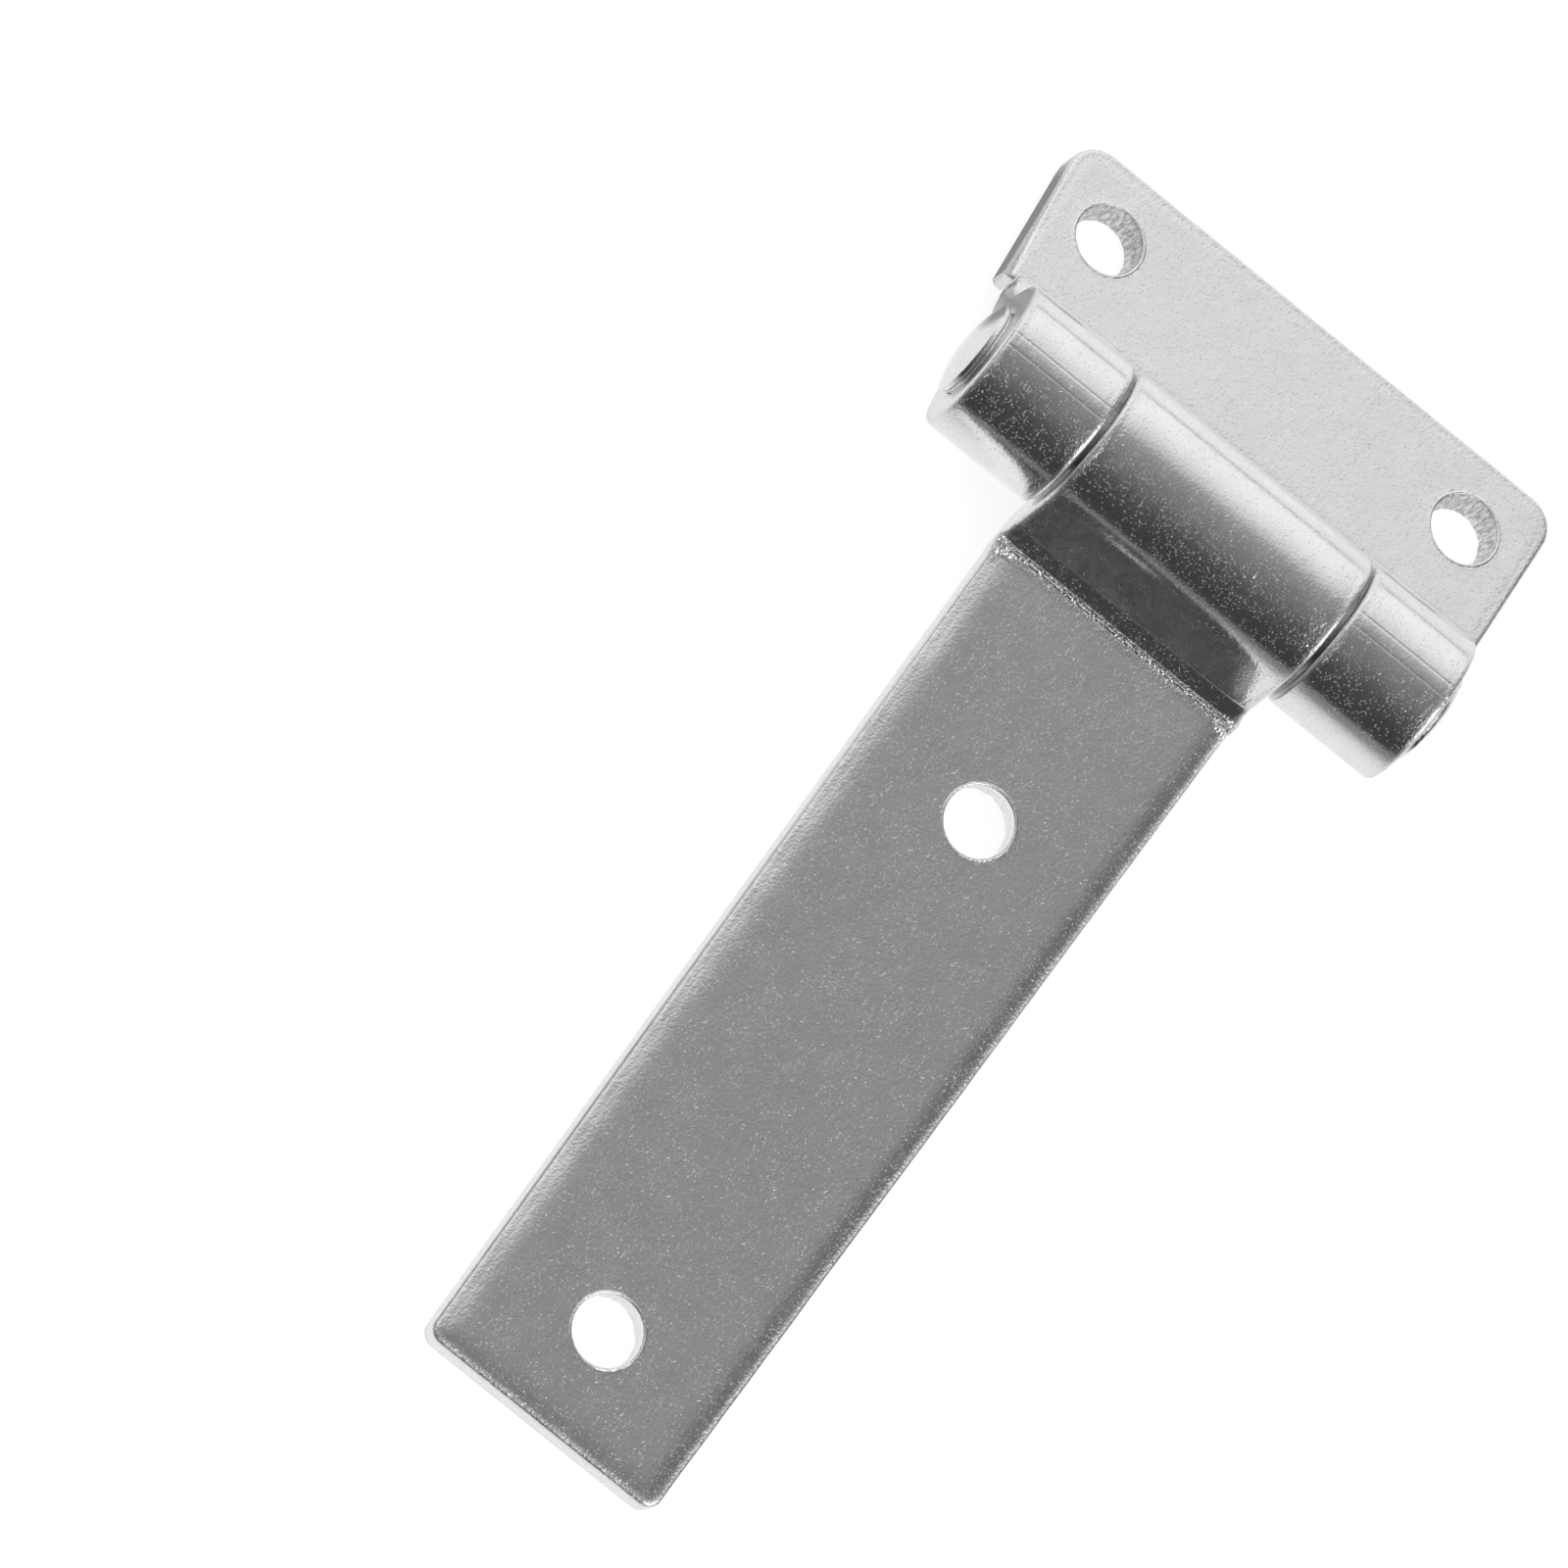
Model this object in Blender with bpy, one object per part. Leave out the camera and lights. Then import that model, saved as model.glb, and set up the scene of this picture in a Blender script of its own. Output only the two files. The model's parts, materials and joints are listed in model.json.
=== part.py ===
"""T hinge of rolled steel sheet: a long strap leaf, a short frame leaf and a riveted pin.

Z is up and the hinge stands on z = 0 as a shallow tent, on the strap's tip and on the frame
leaf's far edge. The pin lies along Y. The strap reaches towards -X and the frame leaf towards +X.
Each leaf is first drawn in its own leaf frame: the pin's axis is the origin's Y axis, the leaf
reaches towards -X, and its front face looks up.
"""

import math

import bmesh
import bpy
from mathutils import Matrix, Vector

# Sheet and barrel
SHEET = 0.0040
BARREL_RADIUS = 0.0097
BORE_RADIUS = BARREL_RADIUS - SHEET
FACE_DROP = BARREL_RADIUS - SHEET
EDGE_ROUND = 0.0005
HOLE_RADIUS = 0.0041

# Strap leaf: reaches are measured from the pin's axis
STRAP_REACH = 0.12565
STRAP_ROOT_WIDTH = 0.0339
STRAP_TIP_WIDTH = 0.0321
STRAP_TIP_CORNER = 0.0018
STRAP_HOLE_REACHES = (0.11265, 0.04045)
STRAP_FACET = 0.0020
STRAP_BENDS = ((math.radians(48.0), 0.0004, STRAP_FACET), (math.radians(24.2), 0.0004, None))
STRAP_CURL_END = math.radians(-141.5)

# Frame leaf
FRAME_REACH = 0.0346
FRAME_LENGTH = 0.0690
FRAME_CORNER = 0.0040
FRAME_TAB_CORNER = 0.0010
FRAME_HOLE_SPACING = 0.0517
FRAME_HOLE_REACH = 0.02555
FRAME_BARREL_LENGTH = 0.0640
FRAME_BENDS = ((math.radians(80.0), 0.0045, None),)
FRAME_CURL_END = math.radians(-138.0)
KNUCKLE_GAP = 0.0005

# Pin
PIN_RADIUS = 0.0056
HEAD_RADIUS = 0.0059
HEAD_RIM = 0.0007
HEAD_HEIGHT = 0.0017
HEAD_GAP = 0.0003
PIN_SEGMENTS = 48
DOME_STEPS = 6

# How far the frame leaf is folded back from lying flat with the strap
REST_FOLD = math.radians(13.4)

# How finely round stretches are cut into facets
ARC_STEP = math.radians(7.5)
LEAST_BEND_STEPS = 3
HOLE_SEGMENTS = 40
CORNER_SEGMENTS = 5
EDGE_SEGMENTS = 2

# Edges steeper than SHARP_ANGLE get rounded, and cells flatter than FLAT_ANGLE are joined
SHARP_ANGLE = math.radians(60.0)
SMOOTH_ANGLE = math.radians(35.0)
FLAT_ANGLE = math.radians(0.5)
SAME_PLACE = 0.00001
INCLINE_ROUNDS = 50

CUTTER_DEPTH = 3.0 * SHEET

STRAP_STEEL = ((0.62, 0.62, 0.63, 1.0), 0.28)
FRAME_STEEL = ((0.66, 0.66, 0.67, 1.0), 0.26)
PIN_STEEL = ((0.70, 0.70, 0.71, 1.0), 0.22)


def clear_scene():
    for obj in list(bpy.data.objects):
        bpy.data.objects.remove(obj, do_unlink=True)


def plated_steel(name, finish):
    colour, roughness = finish
    material = bpy.data.materials.new(name)
    material.use_nodes = True
    shader = material.node_tree.nodes["Principled BSDF"]
    shader.inputs["Base Color"].default_value = colour
    shader.inputs["Metallic"].default_value = 1.0
    shader.inputs["Roughness"].default_value = roughness
    return material


def section(x, z, heading):
    """Front and back point of the sheet where its front runs along the heading."""
    back = (x + SHEET * math.sin(heading), z - SHEET * math.cos(heading))
    return ((x, z), back)


def rising_sections(bends):
    """The sheet from its first bend up to where its front meets the barrel's circle."""
    x, z, heading = 0.0, -FACE_DROP, 0.0
    sections = [section(x, z, heading)]
    for angle, radius, length in bends:
        steps = max(LEAST_BEND_STEPS, math.ceil(angle / ARC_STEP))
        for _ in range(steps):
            turned = heading + angle / steps
            x += radius * (math.sin(turned) - math.sin(heading))
            z += radius * (math.cos(heading) - math.cos(turned))
            heading = turned
            sections.append(section(x, z, heading))
        if length is None:
            length = (BARREL_RADIUS * math.cos(heading) - z) / math.sin(heading)
        x += length * math.cos(heading)
        z += length * math.sin(heading)
        sections.append(section(x, z, heading))
    shift = -BARREL_RADIUS * math.sin(heading) - x
    moved = [((fx + shift, fz), (bx + shift, bz)) for (fx, fz), (bx, bz) in sections]
    return moved, heading


def rolled_sections(heading, curl_end):
    """The sheet rolled over the pin, clockwise from the rise to the curl's cut end."""
    start = heading + math.pi / 2
    steps = math.ceil((start - curl_end) / ARC_STEP)
    sections = []
    for step in range(1, steps + 1):
        angle = start + (curl_end - start) * step / steps
        front = (BARREL_RADIUS * math.cos(angle), BARREL_RADIUS * math.sin(angle))
        back = (BORE_RADIUS * math.cos(angle), BORE_RADIUS * math.sin(angle))
        sections.append((front, back))
    return sections


def leaf_sections(reach, bends, curl_end):
    """Every cross-section of a leaf: its outer edge, its bends and its curl."""
    outer_edge = section(-reach, -FACE_DROP, 0.0)
    rising, heading = rising_sections(bends)
    return [outer_edge] + rising + rolled_sections(heading, curl_end)


def sheet_bmesh(sections, columns, is_solid):
    """A closed sheet from a grid of cells: sections along it and columns(x) across it."""
    bm = bmesh.new()
    verts = {}

    def vert(row, column, side):
        key = (row, column, side)
        if key not in verts:
            x, z = sections[row][side]
            across = columns(sections[row][0][0])[column]
            verts[key] = bm.verts.new((x, across, z))
        return verts[key]

    rows = len(sections) - 1
    cells = len(columns(0.0)) - 1

    def solid(row, cell):
        return 0 <= row < rows and 0 <= cell < cells and is_solid(row, cell)

    for row in range(rows):
        for cell in range(cells):
            if not solid(row, cell):
                continue
            corners = ((row, cell), (row + 1, cell), (row + 1, cell + 1), (row, cell + 1))
            bm.faces.new([vert(r, c, 0) for r, c in corners])
            bm.faces.new([vert(r, c, 1) for r, c in reversed(corners)])
            neighbours = ((row, cell - 1), (row + 1, cell), (row, cell + 1), (row - 1, cell))
            for index, neighbour in enumerate(neighbours):
                if solid(*neighbour):
                    continue
                first = corners[index]
                second = corners[(index + 1) % 4]
                wall = [vert(*second, 0), vert(*first, 0), vert(*first, 1), vert(*second, 1)]
                bm.faces.new(wall)
    bmesh.ops.recalc_face_normals(bm, faces=bm.faces)
    return bm


def join_flat_cells(bm):
    bmesh.ops.dissolve_limit(
        bm, angle_limit=FLAT_ANGLE, verts=bm.verts, edges=bm.edges, use_dissolve_boundaries=False
    )


def corner_edges(bm, reach, half_width):
    """The short upright edges of the flat leaf at a given distance from the pin and centre."""
    found = []
    for edge in bm.edges:
        first, second = (vert.co for vert in edge.verts)
        upright = (first - second).xy.length < SAME_PLACE
        in_place = (Vector((-reach, half_width)) - Vector((first.x, abs(first.y)))).length < SAME_PLACE
        if upright and in_place:
            found.append(edge)
    return found


def round_corners(bm, reach, half_width, radius):
    edges = corner_edges(bm, reach, half_width)
    bmesh.ops.bevel(
        bm, geom=edges, offset=radius, segments=CORNER_SEGMENTS, profile=0.5, affect="EDGES"
    )


def round_outline(bm):
    edges = [edge for edge in bm.edges if edge.calc_face_angle(0.0) > SHARP_ANGLE]
    bmesh.ops.bevel(
        bm, geom=edges, offset=EDGE_ROUND, segments=EDGE_SEGMENTS, profile=0.5, affect="EDGES"
    )


def finish_object(name, bm, material, pose):
    mesh = bpy.data.meshes.new(name)
    bm.to_mesh(mesh)
    bm.free()
    mesh.shade_smooth()
    mesh.set_sharp_from_angle(angle=SMOOTH_ANGLE)
    mesh.materials.append(material)
    obj = bpy.data.objects.new(name, mesh)
    obj.matrix_world = pose
    bpy.context.scene.collection.objects.link(obj)
    return obj


def hole_cutter(name, centres, parent):
    """Cylinders through a flat leaf at the given (x, y) places of the leaf frame."""
    bm = bmesh.new()
    for x, y in centres:
        place = Matrix.Translation((x, y, -FACE_DROP - SHEET / 2))
        bmesh.ops.create_cone(
            bm,
            cap_ends=True,
            segments=HOLE_SEGMENTS,
            radius1=HOLE_RADIUS,
            radius2=HOLE_RADIUS,
            depth=CUTTER_DEPTH,
            matrix=place,
        )
    mesh = bpy.data.meshes.new(name)
    bm.to_mesh(mesh)
    bm.free()
    cutter = bpy.data.objects.new(name, mesh)
    cutter.hide_render = True
    cutter.display_type = "WIRE"
    cutter.matrix_world = parent.matrix_world
    bpy.context.scene.collection.objects.link(cutter)
    modifier = parent.modifiers.new("screw_holes", "BOOLEAN")
    modifier.operation = "DIFFERENCE"
    modifier.solver = "EXACT"
    modifier.object = cutter


def strap_bmesh():
    sections = leaf_sections(STRAP_REACH, STRAP_BENDS, STRAP_CURL_END)
    root = sections[1][0][0]

    def columns(x):
        share = min(1.0, (x + STRAP_REACH) / (root + STRAP_REACH))
        width = STRAP_TIP_WIDTH + (STRAP_ROOT_WIDTH - STRAP_TIP_WIDTH) * share
        return (-width / 2, width / 2)

    bm = sheet_bmesh(sections, columns, lambda row, cell: True)
    round_corners(bm, STRAP_REACH, STRAP_TIP_WIDTH / 2, STRAP_TIP_CORNER)
    round_outline(bm)
    return bm


def frame_bmesh():
    sections = leaf_sections(FRAME_REACH, FRAME_BENDS, FRAME_CURL_END)
    plate_end = -sections[1][0][0]
    outer = FRAME_LENGTH / 2
    barrel = FRAME_BARREL_LENGTH / 2
    slot = STRAP_ROOT_WIDTH / 2 + KNUCKLE_GAP
    sides = (-outer, -barrel, -slot, slot, barrel, outer)
    knuckle_cells = (1, 3)

    def is_solid(row, cell):
        return row == 0 or cell in knuckle_cells

    bm = sheet_bmesh(sections, lambda x: sides, is_solid)
    join_flat_cells(bm)
    round_corners(bm, FRAME_REACH, outer, FRAME_CORNER)
    round_corners(bm, plate_end, outer, FRAME_TAB_CORNER)
    round_outline(bm)
    return bm


def pin_profile():
    """Half of the pin from its middle out: shank, head's underside, rim and dome."""
    shoulder = FRAME_BARREL_LENGTH / 2 + HEAD_GAP
    dome_height = HEAD_HEIGHT - HEAD_RIM
    dome_radius = (HEAD_RADIUS**2 + dome_height**2) / (2 * dome_height)
    half_angle = math.asin(HEAD_RADIUS / dome_radius)
    points = [(PIN_RADIUS, shoulder), (HEAD_RADIUS, shoulder)]
    for step in range(DOME_STEPS):
        angle = half_angle * (1 - step / DOME_STEPS)
        height = shoulder + HEAD_RIM + dome_height - dome_radius * (1 - math.cos(angle))
        points.append((dome_radius * math.sin(angle), height))
    crown = shoulder + HEAD_HEIGHT
    return points, crown


def pin_bmesh():
    half, crown = pin_profile()
    outline = [(radius, -along) for radius, along in reversed(half)] + half
    bm = bmesh.new()
    rings = []
    for radius, along in outline:
        ring = []
        for step in range(PIN_SEGMENTS):
            angle = 2 * math.pi * step / PIN_SEGMENTS
            point = (radius * math.cos(angle), along, radius * math.sin(angle))
            ring.append(bm.verts.new(point))
        rings.append(ring)
    for ring, after in zip(rings, rings[1:]):
        for step in range(PIN_SEGMENTS):
            turn = (step + 1) % PIN_SEGMENTS
            bm.faces.new((ring[step], ring[turn], after[turn], after[step]))
    for ring, along in ((rings[0], -crown), (rings[-1], crown)):
        pole = bm.verts.new((0.0, along, 0.0))
        for step in range(PIN_SEGMENTS):
            bm.faces.new((ring[step], ring[(step + 1) % PIN_SEGMENTS], pole))
    bmesh.ops.recalc_face_normals(bm, faces=bm.faces)
    return bm


def strap_turn(incline):
    return Matrix.Rotation(-incline, 4, "Y")


def frame_turn(incline):
    return Matrix.Rotation(incline, 4, "Y") @ Matrix.Rotation(math.pi, 4, "Z")


def lowest(bm, turn):
    return min((turn @ vert.co).z for vert in bm.verts)


def standing_incline(strap, frame):
    """The strap's slope at which its tip and the frame leaf's edge touch the same floor."""
    low, high = 0.0, REST_FOLD
    for _ in range(INCLINE_ROUNDS):
        middle = (low + high) / 2
        strap_lower = lowest(strap, strap_turn(middle))
        frame_lower = lowest(frame, frame_turn(REST_FOLD - middle))
        if strap_lower > frame_lower:
            low = middle
        else:
            high = middle
    return (low + high) / 2


def x_range(bm, turn):
    places = [(turn @ vert.co).x for vert in bm.verts]
    return min(places), max(places)


def main():
    clear_scene()
    strap_steel = plated_steel("plated_strap_steel", STRAP_STEEL)
    frame_steel = plated_steel("plated_frame_steel", FRAME_STEEL)
    pin_steel = plated_steel("plated_pin_steel", PIN_STEEL)

    strap = strap_bmesh()
    frame = frame_bmesh()
    incline = standing_incline(strap, frame)
    strap_pose = strap_turn(incline)
    frame_pose = frame_turn(REST_FOLD - incline)
    centre = -(x_range(strap, strap_pose)[0] + x_range(frame, frame_pose)[1]) / 2
    axis = Matrix.Translation(Vector((centre, 0.0, -lowest(strap, strap_pose))))

    strap_leaf = finish_object("strap_leaf", strap, strap_steel, axis @ strap_pose)
    frame_leaf = finish_object("frame_leaf", frame, frame_steel, axis @ frame_pose)
    finish_object("hinge_pin", pin_bmesh(), pin_steel, axis)

    hole_cutter("strap_hole_cutter", [(-x, 0.0) for x in STRAP_HOLE_REACHES], strap_leaf)
    half = FRAME_HOLE_SPACING / 2
    frame_holes = [(-FRAME_HOLE_REACH, -half), (-FRAME_HOLE_REACH, half)]
    hole_cutter("frame_hole_cutter", frame_holes, frame_leaf)


main()
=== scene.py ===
"""The T hinge's looks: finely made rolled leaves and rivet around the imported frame.

Each leaf is a sheet drawn in its own leaf frame: the pin's axis is the origin's Y axis, the leaf
reaches towards -X and its front face looks up. A sheet is a grid of rows along it and columns
across it, bent along its path. The distance to the sheet's outline shapes its punched edge.
"""

import json
import math

import bmesh
import bpy
import numpy as np
from mathutils import Euler, Matrix, Vector, noise


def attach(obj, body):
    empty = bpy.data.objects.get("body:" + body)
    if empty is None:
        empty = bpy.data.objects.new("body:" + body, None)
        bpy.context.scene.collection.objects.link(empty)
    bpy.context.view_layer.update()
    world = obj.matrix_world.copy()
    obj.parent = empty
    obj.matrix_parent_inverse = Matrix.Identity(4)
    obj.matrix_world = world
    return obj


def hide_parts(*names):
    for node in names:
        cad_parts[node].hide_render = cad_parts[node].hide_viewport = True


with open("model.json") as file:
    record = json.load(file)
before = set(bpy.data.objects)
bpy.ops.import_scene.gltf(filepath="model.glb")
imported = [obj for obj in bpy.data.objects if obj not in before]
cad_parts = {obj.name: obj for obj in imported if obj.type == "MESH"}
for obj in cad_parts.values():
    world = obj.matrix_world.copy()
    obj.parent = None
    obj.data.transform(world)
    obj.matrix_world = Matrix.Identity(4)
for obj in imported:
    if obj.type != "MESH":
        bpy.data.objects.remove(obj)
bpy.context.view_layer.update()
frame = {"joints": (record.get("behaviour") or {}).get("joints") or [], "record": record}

# Sheet and barrel, in metres
SHEET = 0.0040
BARREL_RADIUS = 0.0097
FACE_DROP = BARREL_RADIUS - SHEET
HOLE_RADIUS = 0.0041
HOLE_RIM = 0.00025

# Strap leaf: reaches are measured from the pin's axis, bends are angle, radius and straight length
STRAP_REACH = 0.12565
STRAP_ROOT_WIDTH = 0.0339
STRAP_TIP_WIDTH = 0.0321
STRAP_TIP_CORNER = 0.0018
STRAP_HOLES = ((-0.11265, 0.0), (-0.04045, 0.0))
STRAP_REAR_HOLE = 0.00429
STRAP_BENDS = ((math.radians(48.0), 0.0004, 0.0020), (math.radians(24.2), 0.0012, None))
STRAP_CURL_END = math.radians(-141.5)
STRAP_COLUMNS = 24
STRAP_FRONT_RADIUS = 0.00042
STRAP_ROLL_WIDTH = 0.0037
STRAP_ROLL_DEPTHS = (0.00010, 0.00032)
STRAP_ROLL_END = (0.0008, 0.0025)

# The strap's crease: bulge at the edges, thin raised line and wrinkles that are wider at both ends
CREASE_BULGE = 0.00035
CREASE_BULGE_REACH = 0.0009
CREASE_LINE = (0.0002, -0.000025)
WRINKLE_REACHES = (0.00025, 0.0007)
WRINKLE_END_SPAN = 0.0012
WRINKLE_PAST_CREASE = 0.0003

# Frame leaf
FRAME_REACH = 0.0346
FRAME_LENGTH = 0.0690
FRAME_CORNER = 0.0040
FRAME_HOLES = ((-0.02555, -0.02585), (-0.02555, 0.02585))
FRAME_REAR_HOLE = 0.00368
FRAME_BARREL_LENGTH = 0.0640
FRAME_BENDS = ((math.radians(80.0), 0.0045, None),)
FRAME_CURL_END = math.radians(-138.0)
FRAME_FRONT_RADIUS = 0.00050
FRAME_ROLL_WIDTH = 0.0022
FRAME_ROLL_DEPTH = 0.00012
KNUCKLE_GAP = 0.0005
TAB_CORNER = 0.0008
TAB_REACH = 0.0009
SLIT_WIDTH = 0.0003
SLIT_START = 0.0002
END_SLANT = 0.0008
SHEAR_WIDTH = 0.0010
SHEAR_SLOPE = 0.8
SHEAR_GROWTH = 1.5
DIE_LINE_ANGLES = (math.radians(85.6), math.radians(75.6))
DIE_LINE_DEPTH = 0.00003
FILLET_LINES = ((-0.0004, 0.000010), (0.0008, 0.000018), (0.0019, 0.000014))

# Pin
PIN_RADIUS = 0.0056
HEAD_RADIUS = 0.0059
HEAD_RIM = 0.0007
HEAD_HEIGHT = 0.0017
HEAD_GAP = 0.0003
HEAD_ROUND = 0.00022
HEAD_BEATEN = 0.00005
HEAD_ROUND_STEPS = 5
DOME_STEPS = 28
DOME_CURVE = 2.2
BEATEN_SCALES = (400, 200)
SHOULDER_ROUND = 0.0001
PIN_WEAR_SPREAD = 4000

# Every sheet's edges: the face rolls over, the back is nearly sharp, the wall is sheared and torn
ROLL_CURVE = 2.4
UNEVEN_SIZE = 0.0045
UNEVEN_SHARE = 0.25
BACK_RADIUS = 0.0003
BACK_ROLL = 0.00005
BULGE_FADE = 0.0012
BACK_BULGE_SHARE = 0.2
WALL_ROUGHNESS = 0.00003
WALL_GRAIN = 0.0009
WALL_TEAR = 0.00008
WALL_TEAR_START = 0.4
WALL_EDGE_MM = 0.9
WALL_SHEAR = 0.25
FARTHEST_EDGE_MM = 9.0

# Screw holes: the punch starts above the face, its land is smooth and its rear is torn
PUNCH_LEAD = 0.0015
PUNCH_RIM_STEPS = 4
PUNCH_SHARES = (0.3, 0.4, 0.5, 0.6, 0.7, 0.8, 0.9, 1.0, 1.3)
PUNCH_TEAR_START = 0.4
PUNCH_TEAR_CURVE = 0.7
PUNCH_TORN = 0.00012
PUNCH_SMOOTH = 0.00002
PUNCH_SMOOTH_SHARE = 0.35
PUNCH_NOISE_SCALES = (9.0, 50, 900)

# Distances from an edge, and from a pressed line, at which a sheet has a row or column
EDGE_LINES = (0.0, 0.00008, 0.0002, 0.00035, 0.0005, 0.0007, 0.0010, 0.0014, 0.0019, 0.0026, 0.0034)
LINE_STEPS = (-0.0003, -0.0002, -0.0001, 0.0, 0.0001, 0.0002, 0.0003)
LINE_WIDTH = 0.00011
FLAT_STEP = 0.0012
BEND_STEP = 0.0004
SAME_PLACE = 0.00002
WALL_STEPS = 4
HOLE_SEGMENTS = 96
SMOOTH_ANGLE = math.radians(42.0)
CLOSE_TO_ZERO = 1e-9


# ---------------------------------------------------------------- the path of a sheet


def leaf_path(reach, bends, curl_end):
    """(length, turn) of each stretch of a leaf's front: its flat, its bends and its curl."""
    run, rise, heading = 0.0, 0.0, 0.0
    bent = []
    for angle, radius, length in bends:
        turned = heading + angle
        run += radius * (math.sin(turned) - math.sin(heading))
        rise += radius * (math.cos(heading) - math.cos(turned))
        heading = turned
        if length is None:
            length = (BARREL_RADIUS * math.cos(heading) + FACE_DROP - rise) / math.sin(heading)
        run += length * math.cos(heading)
        rise += length * math.sin(heading)
        bent += [(angle * radius, angle), (length, 0.0)]
    flat = reach - run - BARREL_RADIUS * math.sin(heading)
    curl = heading + math.pi / 2 - curl_end
    return [(flat, 0.0)] + bent + [(curl * BARREL_RADIUS, -curl)]


def follow(path, reach, along):
    """Place and heading, as (x, z, heading), at a length along a path."""
    x, z, heading = -reach, -FACE_DROP, 0.0
    for length, turn in path:
        part = min(along, length)
        curve = turn / length
        turned = heading + curve * part
        if abs(curve) < CLOSE_TO_ZERO:
            x += part * math.cos(heading)
            z += part * math.sin(heading)
        else:
            x += (math.sin(turned) - math.sin(heading)) / curve
            z += (math.cos(heading) - math.cos(turned)) / curve
        heading = turned
        along -= part
    return x, z, heading


def stops(path):
    """Lengths along a path at which its stretches meet."""
    return [sum(length for length, _ in path[:count]) for count in range(1, len(path))]


def filled(places, step_at):
    """The places in order, with even steps of at most step_at(place) between them."""
    places = sorted(places)
    kept = [places[0]]
    for high in places[1:]:
        low = kept[-1]
        if high - low < SAME_PLACE:
            continue
        steps = math.ceil((high - low) / step_at((low + high) / 2))
        kept += [low + (high - low) * step / steps for step in range(1, steps + 1)]
    return kept


def row_places(path, marks):
    """Lengths along a leaf for its rows: close at its ends, its marks and its bends."""
    total = sum(length for length, _ in path)
    places = list(EDGE_LINES) + stops(path) + [total - line for line in EDGE_LINES] + list(marks)
    return filled(places, lambda place: BEND_STEP if place > path[0][0] else FLAT_STEP)


# ---------------------------------------------------------------- a sheet of metal


def corner_rounded(s, t, corner_s, corner_t, inward_s, inward_t, radius):
    """Presses the square block at a sharp corner into a quarter disc."""
    e = (s - corner_s) * inward_s
    d = (t - corner_t) * inward_t
    inside = (e < radius) & (d < radius) & (e > -SAME_PLACE / 2) & (d > -SAME_PLACE / 2)
    p = np.where(inside, radius - e, 1.0)
    q = np.where(inside, radius - d, 1.0)
    longest = np.maximum(np.abs(p), np.abs(q))
    squeeze = longest / np.maximum(np.hypot(p, q), CLOSE_TO_ZERO)
    new_s = corner_s + inward_s * (radius - p * squeeze)
    new_t = corner_t + inward_t * (radius - q * squeeze)
    return np.where(inside, new_s, s), np.where(inside, new_t, t)


def outline_edges(solid):
    """Directed edges ((row, column), (row, column)) round every solid cell's open sides."""
    rows, cells = solid.shape
    edges = []
    for row, cell in np.argwhere(solid):
        corners = ((row, cell), (row + 1, cell), (row + 1, cell + 1), (row, cell + 1))
        neighbours = ((row, cell - 1), (row + 1, cell), (row, cell + 1), (row - 1, cell))
        for index, (other_row, other_cell) in enumerate(neighbours):
            in_grid = 0 <= other_row < rows and 0 <= other_cell < cells
            if not (in_grid and solid[other_row, other_cell]):
                edges.append((corners[index], corners[(index + 1) % 4]))
    return edges


def outline_distance(s, t, edges):
    """Each grid point's distance to the sheet's outline."""
    start = np.array([(s[a], t[a]) for a, _ in edges])
    end = np.array([(s[b], t[b]) for _, b in edges])
    run = end - start
    length_squared = np.maximum((run**2).sum(1), CLOSE_TO_ZERO**2)
    points = np.stack([s.ravel(), t.ravel()], 1)
    nearest = []
    for point in points:
        gap = point - start
        share = np.clip((gap * run).sum(1) / length_squared, 0.0, 1.0)
        nearest.append(np.sqrt(((gap - share[:, None] * run) ** 2).sum(1).min()))
    return np.array(nearest).reshape(s.shape)


def edge_drop(distance, radius, roll_width, roll_depth):
    """How far a punched edge falls away from the face: a long roll-over and a small radius."""
    inner = np.clip(radius - distance, 0.0, radius)
    corner = radius - np.sqrt(np.maximum(radius**2 - inner**2, 0.0))
    roll = roll_depth * (np.clip(roll_width - distance, 0.0, None) / roll_width) ** ROLL_CURVE
    return corner + roll


def unevenness(s, t, size, seed):
    """Smooth values from -1 to 1 over the sheet, the same at every run."""
    values = np.empty(s.shape)
    for index in np.ndindex(s.shape):
        values[index] = noise.noise(Vector((s[index] / size, t[index] / size, seed)))
    return values


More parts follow.
